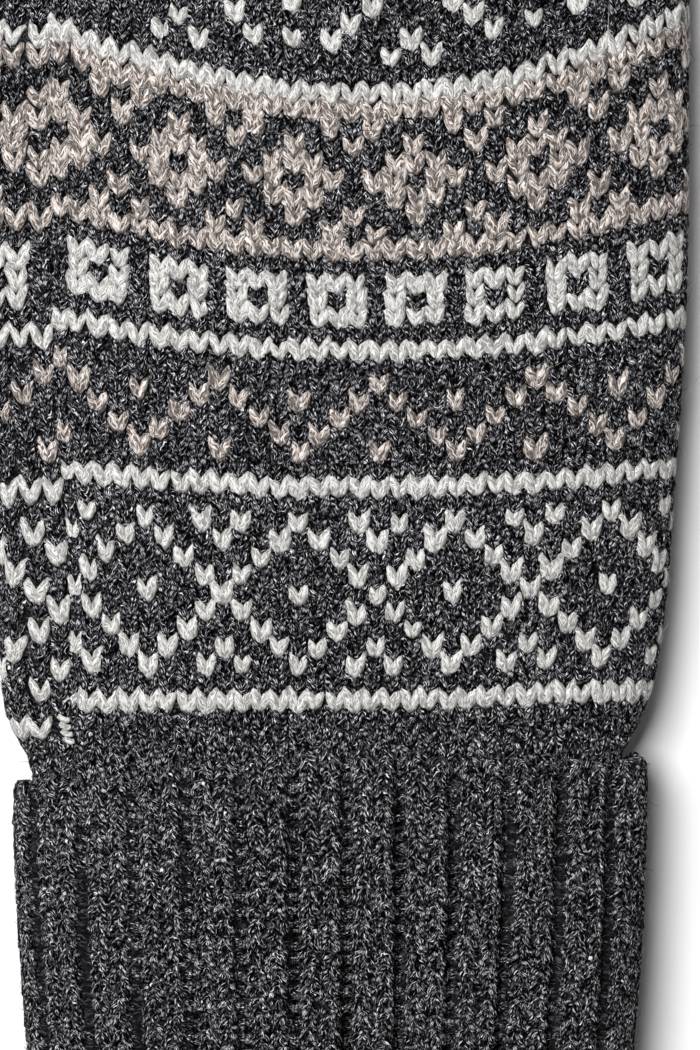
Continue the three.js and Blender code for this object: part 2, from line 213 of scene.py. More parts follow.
# The hand.
lobes = []
edge = -1.0
for finger in FINGERS:
    lobes.append({**finger, "middle": edge + finger["width"], "half": finger["width"]})
    edge += 2 * (finger["width"] + CROTCH_SHARE)

WRIST_HALF = CUFF_WIDTH / 2 - CUFF_WALL - LAYER_GAP
WRIST_CROWN = CUFF_HEIGHT - CUFF_WALL - LAYER_GAP
WRIST_SOLE = CUFF_WALL + LAYER_GAP
WRIST_LEVEL = CUFF_EDGE_LEVEL * CUFF_HEIGHT
FINGER_LEVEL = FINGER_EDGE_LEVEL * FINGER_HEIGHT
little_edge = lobes[-1]["middle"] - lobes[-1]["half"] - CROTCH_SHARE


def hand_half(y):
    return mix(WRIST_HALF, PALM_WIDTH / 2, follow(HAND_ALONG, HAND_OPENED, y / HAND_LENGTH))


def fork_at(share):
    """The forks' place at a share across the hand."""
    return HAND_LENGTH - np.where(share > little_edge, LITTLE_DROP, 0)


def fork_line(share):
    """The same place, passing smoothly from the ring finger's fork to the little finger's."""
    return HAND_LENGTH - LITTLE_DROP * smooth((share - little_edge) / FORK_BLEND + 0.5)


def hand_section(y, share, over, forked_shape=True):
    """Height of the hand's upper or lower side at a share of its half width."""
    along = y / HAND_LENGTH
    crown = mix(WRIST_CROWN, HAND_HEIGHT, follow(HAND_ALONG, HAND_CROWN, along))
    sole_share = follow(HAND_ALONG, HAND_SOLE, along)
    sole = mix(WRIST_SOLE, 0, sole_share)
    palm_level = mix(WRIST_LEVEL, PALM_EDGE_LEVEL * HAND_HEIGHT, sole_share)
    forked = smooth((y - fork_line(share)) / (FORK_SHARE * HAND_LENGTH) + 1) * forked_shape
    level = mix(palm_level, FINGER_LEVEL, forked)
    local = np.ones_like(share)
    for lobe in lobes:
        inside = np.abs(share - lobe["middle"]) < lobe["half"]
        local = np.where(inside, (share - lobe["middle"]) / lobe["half"], local)
    top = mix(
        upper_side(share, level, crown),
        np.maximum(upper_side(local, level, FINGER_HEIGHT), level + WEB_HEIGHT / 2),
        forked,
    )
    bottom = mix(
        lower_side(share, level, sole),
        np.minimum(lower_side(local, level, 0), level - WEB_HEIGHT / 2),
        forked,
    )
    edge_gap = np.clip((1 - np.abs(share)) / 0.02, 0, 1)
    top = mix(level, top, np.where(forked > 0, edge_gap, 1))
    bottom = mix(level, bottom, np.where(forked > 0, edge_gap, 1))
    return np.where(over, top, bottom)


# The hand stands wider on the left where it leaves the cuff.
SPREAD_PLACES = (-3, 0, 3, 9, 16, 25)
SPREAD_SIZES = (1.6, 2.4, 2.5, 1.5, 0.5, 0.0)


def hand_tube():
    places = np.arange(-8, HAND_LENGTH + 0.01, 0.75)
    rings, rounds = [], []
    for y in places:
        half = hand_half(max(y, 0))
        x = np.sin(FINE)
        z = hand_section(max(y, 0), x, np.cos(FINE) >= 0, forked_shape=False)
        angles, length = even_angles(np.stack([x * half, z], axis=-1))
        share = np.sin(angles)
        height = hand_section(max(y, 0), share, np.cos(angles) >= 0)
        spread = np.interp(y, SPREAD_PLACES, SPREAD_SIZES) * smooth((-share - 0.3) / 0.7)
        rings.append(np.stack([share * half - spread, np.full_like(share, y), height], axis=-1))
        rounds.append(length)
    return Tube(places, rings, rounds)


def finger_tube(lobe):
    long = FINGER_LENGTH * lobe["length"]
    fork = HAND_LENGTH - lobe["dropped"] * LITTLE_DROP
    half_palm = hand_half(HAND_LENGTH)
    shares = np.concatenate([[-4 / long], np.linspace(0, 0.85, 60), np.linspace(0.86, 1, 30)])
    rings, rounds = [], []
    for share in shares:
        along = max(share, 0)
        half = half_palm * lobe["half"] * follow(FINGER_ALONG, FINGER_WIDE, along)
        height = FINGER_HEIGHT * follow(FINGER_ALONG, FINGER_HIGH, along)
        section = (half, FINGER_EDGE_LEVEL * height, height, 0)
        angles, length = even_angles(outline(FINE, *section))
        ring = outline(angles, *section)
        x = ring[:, 0] + lobe["middle"] * half_palm + lobe["lean"] * long * along
        y = np.full_like(x, fork + share * long)
        rings.append(np.stack([x, y, ring[:, 1]], axis=-1))
        rounds.append(length)
    return Tube(fork + shares * long, rings, rounds)


def thumb_line(count=400):
    """The thumb's middle line: points at even steps along it and the lengths up to them."""
    bend = np.array([-hand_half(THUMB_PLACE), THUMB_PLACE])
    low = THUMB_PLACE - THUMB_ROOT
    root = np.array([THUMB_WIDTH / 2 - hand_half(low), low])
    tip = bend + THUMB_LENGTH * np.array([-math.sin(THUMB_ANGLE), math.cos(THUMB_ANGLE)])
    t = np.linspace(0, 1, count)[:, None]
    line = (1 - t) ** 2 * root + 2 * t * (1 - t) * bend + t * t * tip
    lengths = np.concatenate([[0], np.cumsum(np.linalg.norm(np.diff(line, axis=0), axis=1))])
    return line, lengths


def thumb_tube():
    line, lengths = thumb_line()
    long = lengths[-1]
    shares = np.concatenate([np.linspace(0, 0.85, 70), np.linspace(0.86, 1, 30)])
    rings, rounds = [], []
    headings = np.gradient(line, lengths, axis=0)
    for share in shares:
        at = share * long
        middle = np.array([np.interp(at, lengths, line[:, i]) for i in range(2)])
        heading = np.array([np.interp(at, lengths, headings[:, i]) for i in range(2)])
        heading /= np.linalg.norm(heading)
        half = THUMB_WIDTH / 2 * follow(THUMB_ALONG, THUMB_WIDE, share)
        height = THUMB_HEIGHT * follow(THUMB_ALONG, THUMB_HIGH, share)
        section = (half, FINGER_EDGE_LEVEL * height, height, 0)
        angles, length = even_angles(outline(FINE, *section))
        ring = outline(angles, *section)
        x = middle[0] + heading[1] * ring[:, 0]
        y = middle[1] - heading[0] * ring[:, 0]
        rings.append(np.stack([x, y, ring[:, 1]], axis=-1))
        rounds.append(length)
    return Tube(shares * long, rings, rounds)


# The cuff: the knit face runs from inside the free edge, over it, down to the fold and up inside.
BOTH_LAYERS = 2 * CUFF_WALL + LAYER_GAP
CUFF_FACE = (
    (-5.0, 2.6, 0.0),
    (-1.3, 2.6, 0.0),
    (-0.36, 2.24, 0.0),
    (0.0, 1.3, 0.3),
    (-0.36, 0.36, 0.3),
    (-1.3, 0.0, 0.35),
    (-4.5, 0.0, 0.7),
    (-8.5, 0.0, 1.0),
    (-28.0, 0.0, 1.0),
    (-CUFF_LENGTH + CUFF_WALL, 0.0, 1.0),
    (-CUFF_LENGTH + 0.65, 1.2, 0.7),
    (-CUFF_LENGTH, 3.0, 0.3),
    (-CUFF_LENGTH + 0.65, 4.8, 0.0),
    (-CUFF_LENGTH + CUFF_WALL, BOTH_LAYERS, 0.0),
    (-28.0, BOTH_LAYERS, 0.0),
    (-3.3, BOTH_LAYERS, 0.0),
)
RIB_ORIGIN = 2.2
CUFF_FULLNESS = 0.3
CUFF_LEAN = 0.35
EDGE_DROP = -3.5
EDGE_LIFT = -0.6
EDGE_REACH = 22.0


def cuff_outline(angles, depth, y):
    taper = follow(CUFF_ALONG, CUFF_TAPER, np.clip(-y / CUFF_LENGTH, 0, 1))
    half = CUFF_WIDTH / 2 * taper - depth + CUFF_FULLNESS
    ring = outline(angles, half, CUFF_EDGE_LEVEL * CUFF_HEIGHT, CUFF_HEIGHT - depth, depth)
    return ring - np.array([CUFF_LEAN, 0])


cuff_angles, cuff_round = even_angles(cuff_outline(FINE, 0, 0))


def channel_at(turn):
    """How far a place round the cuff is into a purl channel, from 0 on a rib to 1."""
    phase = np.mod((-turn * cuff_round - RIB_ORIGIN) * RIB_COUNT / cuff_round, 1)
    away = np.minimum(phase, 1 - phase)
    return smooth((0.14 - away) / 0.105)


def edge_shift(x, turn):
    """How far the free edge stands above its mean line."""
    ribs = turn * RIB_COUNT * 2 * np.pi
    uneven = 0.32 * np.sin(0.37 * ribs + 1) + 0.22 * np.sin(0.73 * ribs + 2) + 0.15 * np.sin(1.9 * ribs)
    scallop = 0.35 - 0.7 * channel_at(turn)
    return EDGE_DROP * smooth((-x - 6) / 32) + EDGE_LIFT * smooth(x / 40) + uneven + scallop


def cuff_ring(y, depth, ribbed):
    """A ring of the cuff, its points running from the crown towards -x."""
    turn = np.arange(RING_POINTS) / RING_POINTS
    ring = cuff_outline(-cuff_angles, depth, y)
    height = np.full(RING_POINTS, y)
    if depth < CUFF_WALL + 0.1:
        height += edge_shift(ring[:, 0], turn) * smooth((y + EDGE_REACH) / EDGE_REACH)
    points = np.stack([ring[:, 0], height, ring[:, 1]], axis=-1)
    if ribbed:
        outer = cuff_outline(-cuff_angles, depth + 0.5, y)
        inward = np.stack([outer[:, 0] - ring[:, 0], 0 * ring[:, 0], outer[:, 1] - ring[:, 1]], axis=-1)
        points += inward / 0.5 * (CHANNEL_DEPTH * ribbed * channel_at(turn))[:, None]
    return points


def cuff_tube():
    face = np.array(CUFF_FACE)
    lengths = np.concatenate(
        [[0], np.cumsum(np.hypot(np.diff(face[:, 0]), np.diff(face[:, 1])))]
    )
    places = np.unique(np.concatenate([np.arange(0, lengths[-1], 0.8), lengths]))
    rows = [np.interp(places, lengths, face[:, i]) for i in range(3)]
    rings = [cuff_ring(*row) for row in zip(*rows)]
    return Tube(places, rings, np.full(len(places), cuff_round)), lengths


# Yarn legs. A stitch is two legs that meet low in the middle and open towards the next row.
LEG_FINE = {
    "across": (0.035, 0.11, 0.25, 0.39, 0.48),
    "along": (-0.64, -0.40, 0.0, 0.40, 0.66),
    "sunk": (0.34, 0.05, 0.0, 0.06, 0.42),
    "wide": (0.66, 1.0, 1.06, 0.88, 0.40),
    "angles": (-35, 20, 65, 115, 160, 215),
}
LEG_PLAIN = {
    "across": (0.04, 0.16, 0.34, 0.48),
    "along": (-0.64, -0.28, 0.26, 0.66),
    "sunk": (0.36, 0.0, 0.02, 0.45),
    "wide": (0.68, 1.08, 0.98, 0.42),
    "angles": (-30, 35, 90, 145, 210),
}
LEG_UNDER = {**LEG_PLAIN, "angles": (0, 90, 180, 270)}
LEG_HALF_WIDTH = 0.67
LEG_HALF_HEIGHT = 0.55
LIGHT_FULLNESS = 1.07


class Yarn:
    """Legs of yarn gathered for one mesh: their points, their faces and their own coordinates."""

    def __init__(self):
        self.points, self.coords, self.quads, self.caps = [], [], [], []
        self.count = 0

    def add(self, spine, normal, half_width, half_height, angles):
        """Sweeps an oval along each spine. spine and normal are legs x steps x 3."""
        legs, steps = spine.shape[:2]
        tangent = np.gradient(spine, axis=1)
        tangent /= np.maximum(np.linalg.norm(tangent, axis=2, keepdims=True), 1e-9)
        side = np.cross(tangent, normal)
        side /= np.maximum(np.linalg.norm(side, axis=2, keepdims=True), 1e-9)
        lift = np.cross(side, tangent)
        angle = np.radians(angles)
        ring = len(angle)
        wide = half_width[..., None, None] * np.cos(angle)[:, None]
        high = half_height[..., None, None] * np.sin(angle)[:, None]
        points = spine[:, :, None] + side[:, :, None] * wide + lift[:, :, None] * high
        along = np.linalg.norm(np.diff(spine, axis=1), axis=2).cumsum(axis=1)
        along = np.concatenate([np.zeros((legs, 1)), along], axis=1)
        coords = np.empty((legs, steps, ring, 3))
        coords[..., 0] = along[:, :, None]
        mirror = np.where(np.arange(legs) % 2, 1, -1)[:, None, None]
        coords[..., 1] = angle[None, None] * (half_width + half_height)[..., None] / 2 * mirror
        coords[..., 2] = dice.uniform(0, 100, legs)[:, None, None]
        self.points.append(points.reshape(-1, 3))
        self.coords.append(coords.reshape(-1, 3))
        first = self.count + np.arange(legs)[:, None, None] * steps * ring
        s, a = np.meshgrid(np.arange(steps - 1), np.arange(ring), indexing="ij")
        b = (a + 1) % ring
        quads = np.stack([s * ring + a, (s + 1) * ring + a, (s + 1) * ring + b, s * ring + b], -1)
        self.quads.append((first[..., None] + quads[None]).reshape(-1, 4))
        start = first[:, 0] + np.arange(ring)
        end = first[:, 0] + (steps - 1) * ring + np.arange(ring)[::-1]
        self.caps.append(np.concatenate([start, end]))
        self.count += legs * steps * ring
        return points, tangent, side, lift


def make_mesh(name, points, polygons, coords=None):
    """A smooth mesh object from points in millimetres and lists of equal-sided polygons."""
    mesh = bpy.data.meshes.new(name)
    row_points = np.asarray(points) * METRES_PER_MM
    row_points[:, 1] -= HAND_LENGTH / 2 * METRES_PER_MM
    row_points[:, 2] = np.maximum(row_points[:, 2], LOWEST * METRES_PER_MM)
    polygons = [p for p in polygons if len(p)]
    corners = np.concatenate([p.ravel() for p in polygons])
    sizes = np.concatenate([np.full(len(p), p.shape[1]) for p in polygons])
    mesh.vertices.add(len(row_points))
    mesh.vertices.foreach_set("co", row_points.astype(np.float32).ravel())
    mesh.loops.add(len(corners))
    mesh.loops.foreach_set("vertex_index", corners.astype(np.int32))
    mesh.polygons.add(len(sizes))
    starts = np.concatenate([[0], np.cumsum(sizes)[:-1]])
    mesh.polygons.foreach_set("loop_start", starts.astype(np.int32))
    mesh.polygons.foreach_set("use_smooth", np.ones(len(sizes), bool))
    if coords is not None:
        layer = mesh.attributes.new("yarn", "FLOAT_VECTOR", "POINT")
        layer.data.foreach_set("vector", np.asarray(coords).astype(np.float32).ravel())
    mesh.update(calc_edges=True)
    piece = bpy.data.objects.new(name, mesh)
    bpy.context.scene.collection.objects.link(piece)
    return piece


made = []


def dress(piece, colour, material, *nodes):
    """Gives a piece its material, its body and the nodes that it stands for."""
    piece.data.materials.append(material)
    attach(piece, BODY)
    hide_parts(*nodes)
    made.append((piece.name, sum(len(p.vertices) - 2 for p in piece.data.polygons)))
    return piece


def finish_yarn(yarn, name, colour, material, *nodes):
    if not yarn.count:
        return None
    piece = make_mesh(
        name,
        np.concatenate(yarn.points),
        [np.concatenate(yarn.quads)] + yarn.caps,
        np.concatenate(yarn.coords),
    )
    return dress(piece, colour, material, *nodes)


class Fuzz:
    """Loose fibres that stand off the yarn."""

    def __init__(self):
        self.points, self.count = [], 0

    def add(self, swept, amount, long, thick, lift_share, fan):
        """amount fibres for each leg on average, rooted on the leg's upper side."""
        points, tangent, side, lift = swept
        legs, steps, ring = points.shape[:3]
        total = int(legs * amount)
        if not total:
            return
        leg = dice.integers(0, legs, total)
        step = dice.integers(0, steps, total)
        spot = dice.integers(1, ring - 1, total)
        root = points[leg, step, spot]
        turn = dice.normal(0, fan, total)[:, None]
        sign = np.where(dice.random(total) < 0.5, -1, 1)[:, None]
        run = (tangent[leg, step] * np.cos(turn) + side[leg, step] * np.sin(turn)) * sign
        up = lift[leg, step]
        length = (long * dice.lognormal(0, 0.45, total))[:, None]
        raised = np.abs(dice.normal(0, lift_share, total))[:, None]
        curl = side[leg, step] * dice.normal(0, 0.22, total)[:, None]
        middle = root + length * (0.5 * run + up * (raised + 0.08) * 0.6 + curl * 0.5)
        tip = root + length * (run + up * raised * 0.9 - curl * 0.4)
        middle[:, 2] = np.clip(middle[:, 2], 2 * thick, HIGHEST_HAIR - thick)
        tip[:, 2] = np.clip(tip[:, 2], thick, HIGHEST_HAIR)
        base = root - up * 0.12
        flat = np.cross(run, up)
        flat /= np.maximum(np.linalg.norm(flat, axis=1, keepdims=True), 1e-9)
        corner = [(-0.9, -0.5), (0.9, -0.5), (0.0, 1.0)]
        rings = []
        for centre, share in ((base, 1.0), (middle, 0.85)):
            for a, b in corner:
                rings.append(centre + (flat * a + up * b) * thick * share)
        self.points.append(np.stack(rings + [tip], axis=1))
        self.count += total


class Nap:
    """Short fibres that lie on the yarn, each a slim spindle."""

    def __init__(self):
        self.points, self.count = [], 0

    def add(self, swept, amount, long, thick, fan):
        points, tangent, side, lift = swept
        legs, steps, ring = points.shape[:3]
        total = int(legs * amount)
        leg = dice.integers(0, legs, total)
        step = dice.integers(0, steps - 1, total)
        spot = dice.integers(1, ring - 1, total)
        share = dice.random(total)[:, None]
        middle = mix(points[leg, step, spot], points[leg, step + 1, spot], share)
        turn = dice.normal(0, fan, total)[:, None]
        run = tangent[leg, step] * np.cos(turn) + side[leg, step] * np.sin(turn)
        up = lift[leg, step]
        half = (long / 2 * dice.lognormal(0, 0.35, total))[:, None]
        middle = middle + up * dice.uniform(0.0, 0.12, total)[:, None]
        flat = np.cross(run, up)
        flat /= np.maximum(np.linalg.norm(flat, axis=1, keepdims=True), 1e-9)
        bend = flat * dice.normal(0, 0.12, total)[:, None] * half
        ends = [middle - run * half + bend - up * 0.1, middle + run * half + bend - up * 0.06]
        waist = [middle + (flat * a + up * b) * thick for a, b in ((-1, -0.4), (1, -0.4), (0, 1))]
        spindle = np.stack(waist + ends, axis=1)
        self.points.append(spindle)
        self.count += total


SPINDLE_FACES = ((0, 1, 3), (1, 2, 3), (2, 0, 3), (1, 0, 4), (2, 1, 4), (0, 2, 4))


def finish_nap(nap, name, colour, material, *nodes):
    points = np.concatenate(nap.points)
    first = np.arange(len(points))[:, None, None] * 5
    faces = (first + np.array(SPINDLE_FACES)[None]).reshape(-1, 3)
    coords = np.zeros(points.shape)
    coords[..., 2] = dice.uniform(0, 100, len(points))[:, None]
    piece = make_mesh(name, points.reshape(-1, 3), [faces], coords.reshape(-1, 3))
    return dress(piece, colour, material, *nodes)


FIBRE_SIDES = ((0, 3, 4, 1), (1, 4, 5, 2), (2, 5, 3, 0))
FIBRE_ENDS = ((0, 1, 2), (4, 3, 6), (5, 4, 6), (3, 5, 6))


def finish_fuzz(fuzz, name, colour, material, *nodes):
    points = np.concatenate(fuzz.points)
    first = np.arange(len(points))[:, None, None] * 7
    sides = (first + np.array(FIBRE_SIDES)[None]).reshape(-1, 4)
    ends = (first + np.array(FIBRE_ENDS)[None]).reshape(-1, 3)
    coords = np.zeros(points.shape)
    coords[..., 0] = np.array([0, 0, 0, 0.5, 0.5, 0.5, 1])
    coords[..., 2] = dice.uniform(0, 100, len(points))[:, None]
    piece = make_mesh(name, points.reshape(-1, 3), [sides, ends], coords.reshape(-1, 3))
    return dress(piece, colour, material, *nodes)


# Wool, as nodes that follow each leg's own coordinates.
def wool(name, ramp, fibre=(1.25, 8.0), bump=0.4, sheen=0.2, shine=0.25):
    """Wool yarn as fibres drawn out along it, with painted shade in the grooves between fibres. ramp lists
    places and linear colours.
    """
    material = bpy.data.materials.new(name)
    material.use_nodes = True
    nodes, links = material.node_tree.nodes, material.node_tree.links
    shader = nodes["Principled BSDF"]
    shader.inputs["Roughness"].default_value = 0.9
    shader.inputs["Specular IOR Level"].default_value = shine
    shader.inputs["Sheen Weight"].default_value = sheen
    shader.inputs["Sheen Roughness"].default_value = 0.45
    coords = nodes.new("ShaderNodeAttribute")
    coords.attribute_name = "yarn"
    split = nodes.new("ShaderNodeSeparateXYZ")
    links.new(coords.outputs["Vector"], split.inputs[0])

    def maths(operation, *values):
        node = nodes.new("ShaderNodeMath")
        node.operation = operation
        for socket, value in zip(node.inputs, values):
            if isinstance(value, (int, float)):
                socket.default_value = value
            else:
                links.new(value, socket)
        return node.outputs[0]

    def joined(*values):
        node = nodes.new("ShaderNodeCombineXYZ")
        for socket, value in zip(node.inputs, values):
            if isinstance(value, (int, float)):
                socket.default_value = value
            else:
                links.new(value, socket)
        return node.outputs[0]

    wander = nodes.new("ShaderNodeTexNoise")
    wander.inputs["Scale"].default_value = 1.3
    wander.inputs["Detail"].default_value = 1.0
    links.new(coords.outputs["Vector"], wander.inputs["Vector"])
    drift = maths("MULTIPLY", maths("SUBTRACT", wander.outputs["Fac"], 0.5), 0.9)

    def fibres(along_scale, around_scale, twist, offset):
        """Brightness of fibres that run along the yarn with a twist, one tone to a fibre, darkened towards each
        fibre's edge as painted shade in the grooves between fibres.
        """
        turned = maths("ADD", maths("MULTIPLY_ADD", split.outputs[0], twist, split.outputs[1]), drift)
        cells = nodes.new("ShaderNodeTexVoronoi")
        cells.inputs["Scale"].default_value = 1.0
        links.new(
            joined(
                maths("MULTIPLY", split.outputs[0], along_scale),
                maths("MULTIPLY", turned, around_scale),
                maths("ADD", split.outputs[2], offset),
            ),
            cells.inputs["Vector"],
        )
        tone = nodes.new("ShaderNodeSeparateXYZ")
        links.new(cells.outputs["Color"], tone.inputs[0])
        # Painted shade: subtracting the cell distance darkens each fibre towards its edge, leaving the cores
        # light and the grooves between fibres dark.
        return maths("SUBTRACT", tone.outputs[0], maths("MULTIPLY", cells.outputs["Distance"], 0.85))

    main = fibres(fibre[0], fibre[1], 0.25, 0.0)
    crossing = fibres(fibre[0] * 1.3, fibre[1] * 1.1, -0.35, 31.7)
    together = maths("MAXIMUM", main, maths("SUBTRACT", crossing, 0.12))
    colours = nodes.new("ShaderNodeValToRGB")
    elements = colours.color_ramp.elements
    while len(elements) < len(ramp):
        elements.new(0.5)
    for element, (place, colour) in zip(elements, ramp):
        element.position = place
        element.color = (*colour, 1)
    links.new(together, colours.inputs[0])
    links.new(colours.outputs[0], shader.inputs["Base Color"])
    if bump:
        relief = nodes.new("ShaderNodeBump")
        relief.inputs["Strength"].default_value = bump
        relief.inputs["Distance"].default_value = 0.0002
        links.new(together, relief.inputs["Height"])
        links.new(relief.outputs[0], shader.inputs["Normal"])
    return material


charcoal = wool(
    "charcoal_wool_yarn",
    (
        (0.05, (0.0004, 0.0004, 0.0005)),
        (0.25, (0.004, 0.004, 0.005)),
        (0.39, (0.040, 0.039, 0.044)),
        (0.52, (0.19, 0.187, 0.203)),
        (0.67, (0.78, 0.775, 0.805)),
    ),
    fibre=(1.55, 11.5),
    sheen=0.0,
    shine=0.02,
)
white = wool(
    "white_wool_yarn",
    (
        (0.03, (0.26, 0.25, 0.24)),
        (0.21, (0.53, 0.517, 0.498)),
        (0.40, (0.69, 0.674, 0.656)),
        (0.66, (0.83, 0.82, 0.805)),
    ),
    fibre=(0.95, 7.5),
)
beige = wool(
    "beige_wool_yarn",
    (
        (0.08, (0.10, 0.083, 0.075)),
        (0.27, (0.40, 0.347, 0.319)),
        (0.44, (0.66, 0.592, 0.552)),
        (0.66, (0.85, 0.78, 0.735)),
    ),
    fibre=(0.9, 6.5),
)
charcoal_fibre = wool(
    "charcoal_wool_fibre",
    ((0.05, (0.05, 0.049, 0.055)), (0.4, (0.23, 0.227, 0.242)), (0.7, (0.60, 0.595, 0.61))),
    bump=0,
    sheen=0.0,
)
white_fibre = wool(
    "white_wool_fibre",
    ((0.05, (0.45, 0.435, 0.415)), (0.6, (0.74, 0.73, 0.71))),
    bump=0,
)
beige_fibre = wool(
    "beige_wool_fibre",
    ((0.05, (0.22, 0.185, 0.165)), (0.6, (0.66, 0.60, 0.565))),
    bump=0,
)
# Painted shade: the base cloth is charcoal yarn, but coloured darker than the stitches' own charcoal, standing
# for the shade in the gaps between stitches.
base_cloth_painted_shade = wool(
    "charcoal_wool_base_painted_shade",
    ((0.05, (0.002, 0.002, 0.0024)), (0.4, (0.012, 0.012, 0.014)), (0.7, (0.09, 0.09, 0.095))),
    sheen=0.0,
    shine=0.1,
)
YARNS = {CHARCOAL: charcoal, WHITE: white, BEIGE: beige}
FIBRES = {CHARCOAL: charcoal_fibre, WHITE: white_fibre, BEIGE: beige_fibre}


# The pattern: which columns of a row are knitted in the second colour. A row without an entry is
# charcoal. "all" fills the row; otherwise the columns repeat with the period.
LATTICE = (
    (2, (0, 3, -3)), (3, (1, -1, 4)), (4, (2, -2)), (5, (3, -3)), (6, (0, 4)),
    (7, (3, -3)), (8, (2, -2)), (9, (1, -1, 4)), (10, (0, 3, -3)),
)
ZIGZAG = ((14, (0, 4)), (15, (1, -1)), (16, (2, -2)), (17, (3, -3, 0)), (18, (4,)))
SQUARES = ((22, (1, 2, 3)), (23, (1, 3)), (24, (1, 2, 3)))
CROSSES = (
    (27, (2, -2)), (28, (0, 3)), (29, (-1, 0, 1)), (30, (1, -1, 2, -2)),
    (31, (-1, 0, 1)), (32, (0, 3)), (33, (2, -2)),
)
STARS = (
    (37, (5, 7)), (38, (0, 2, -2, 6)), (39, (3, -3)), (40, (0, 4, -4)),
    (41, (5, -5)), (42, (6,)), (43, (5, -5)), (44, (0, 4, -4)),
)
BANDS = ((LATTICE, 8, WHITE), (ZIGZAG, 8, BEIGE), (SQUARES, 4, WHITE), (CROSSES, 6, BEIGE), (STARS, 12, WHITE))
FULL_ROWS = {0: WHITE, 12: WHITE, 20: WHITE, 26: BEIGE, 34: BEIGE, 35: WHITE}


def colours_of(rows, columns):
    """The yarn of each stitch, as an index into COLOURS. The seam's own column is one too many."""
    columns = columns + np.where(columns < SEAM_COLUMN, 1, 0)
    chosen = np.zeros(rows.shape, int)
    for row, colour in FULL_ROWS.items():
        chosen[rows == row] = COLOURS.index(colour)
    for band, period, colour in BANDS:
        for row, marks in band:
            repeat = np.isin(np.mod(columns, period), np.mod(marks, period))
            chosen[(rows == row) & repeat] = COLOURS.index(colour)
    return chosen


COLOURS = (CHARCOAL, WHITE, BEIGE)

# Rows of the hand: heights of row middles over the crown, and how they rise towards the sides.
ROW_MARKS = (-6, 0, 12, 20, 26, 35, 80)
ROW_HEIGHTS = (-6.6, 7.06, 34.3, 51.7, 64.5, 84.7, 185.1)
SAG_MIDDLE = 4.75
SAG_REACH = 41.7
SAG_LEAST = 0.64
SAG_GROWTH = 9.36
SAG_SPAN = 77.5
SEAM_JOG = 2.44
SEAM_JOG_HIGH = 0.85
SIDE_TURN = 0.2
SAG_END = 45.0
RIGHT_ROWS = (0, 9, 13, 22, 28, 36)
RIGHT_LIFTS = (0.75, 0.75, 0.15, 0.15, 0.75, 1.15)
LIFT_START_LOW = 10.0
LIFT_START_HIGH = 18.0
LEFT_DROP = 1.2
COLUMN_DRIFT = -0.8

# How far columns stand from their even places, low and high on the hand.
BESIDE_COLUMNS = (-26, -17, -16, -15, -14, -13, -12, -11, -8, -4, 0, 9, 15, 19, 21, 23, 26, 36)
BESIDE_LOW = (0, -1.2, -1.0, -0.8, 0.4, 0.95, 0.4, 0.3, 0.45, 0.3, 0, -0.3, 0.4, 0.6, 0.9, 1.2, 1.2, 0)
BESIDE_HIGH = (0, -1.6, -1.5, -1.3, -0.8, 0.1, 0.2, 0.3, 0.5, 0.2, 0, 0, 0.45, 0.6, 1.0, 1.45, 1.5, 0)
JOG_ROWS = (-6, 0, 2, 4, 6, 10, 14)
JOG_EXTRA = (1.3, 1.45, 1.6, 1.35, 1.1, 0.9, 0.2)
LOW_LEFT_DROP = 0.6


def hand_stretch(place):
    """Width of a wale over the crown at a place along the hand."""
    return mix(WALE_AT_CUFF, WALE, smooth(place / 52))


def column_turn(columns, place):
    """Turn round the hand of a column: even over the crown, with the rest of the round beyond."""
    steps = columns - CROWN_COLUMN
    length = hand.round_at(place)
    wide = hand_stretch(place)
    share = steps / HAND_WALES
    beyond = np.clip((np.abs(share) - SIDE_TURN) / (0.5 - SIDE_TURN), 0, None) * 0.5
    right_share = smooth((place - 70) / 18)
    drift = (
        COLUMN_DRIFT * smooth((place - 52) / 14) * smooth((steps + 12) / 8) * smooth((0.4 - share) / 0.1)
        * mix(1 - smooth(steps / 4.5), 1, right_share)
    )
    beside_low = np.interp(columns, BESIDE_COLUMNS, BESIDE_LOW)
    beside_high = np.interp(columns, BESIDE_COLUMNS, BESIDE_HIGH)
    drift = drift + mix(beside_low, beside_high, smooth((place - 38) / 36))
    spare = length - wide * HAND_WALES
    return (wide * steps + spare * np.sign(share) * beyond + drift) / length


def row_rise(rows, columns, own_column, height):
    """How far a row stands above its crown height at a column."""
    steps = columns - CROWN_COLUMN
    growth = np.clip((height - ROW_HEIGHTS[1]) / SAG_SPAN, 0, 1.03)
    depth = SAG_LEAST + SAG_GROWTH * growth ** 1.5
    left_end = (SEAM_COLUMN - 0.5 - CROWN_COLUMN) * WALE
    x = np.clip(steps * hand_stretch(height), left_end, SAG_END)

    def curve(at):
        start = mix(LIFT_START_LOW, LIFT_START_HIGH, smooth((rows - 11) / 4))
        right_lift = np.interp(rows, RIGHT_ROWS, RIGHT_LIFTS) * smooth((at - start) / 22)
        left_drop = LEFT_DROP * smooth((-at - 14) / 24) * smooth((rows - 24) / 10)
        return depth * ((at - SAG_MIDDLE) / SAG_REACH) ** 2 + right_lift - left_drop

    jog = mix(SEAM_JOG, SEAM_JOG_HIGH, smooth((rows - 18) / 17)) + np.interp(rows, JOG_ROWS, JOG_EXTRA)
    round_share = np.mod(steps / HAND_WALES, 1)
    palm = mix(curve(SAG_END), curve(left_end) - jog, smooth((round_share - 0.27) / 0.46))
    low_left = LOW_LEFT_DROP * (1 - smooth(rows / 3)) * smooth((-steps - 4) / 8)
    over = curve(x) - np.where(own_column < SEAM_COLUMN, jog, 0) - low_left
    return np.where((round_share > 0.27) & (round_share < 0.73), palm, over)


def waves(columns, rows, seed):
    """Slow unevenness of the knitting, a share of a stitch."""
    local = np.random.default_rng(seed)
    total = 0
    for _ in range(5):
        a, b = local.uniform(-0.35, 0.35), local.uniform(-0.3, 0.3)
        total = total + 0.06 * np.sin(a * columns + b * rows + local.uniform(0, 6.28))
    return total


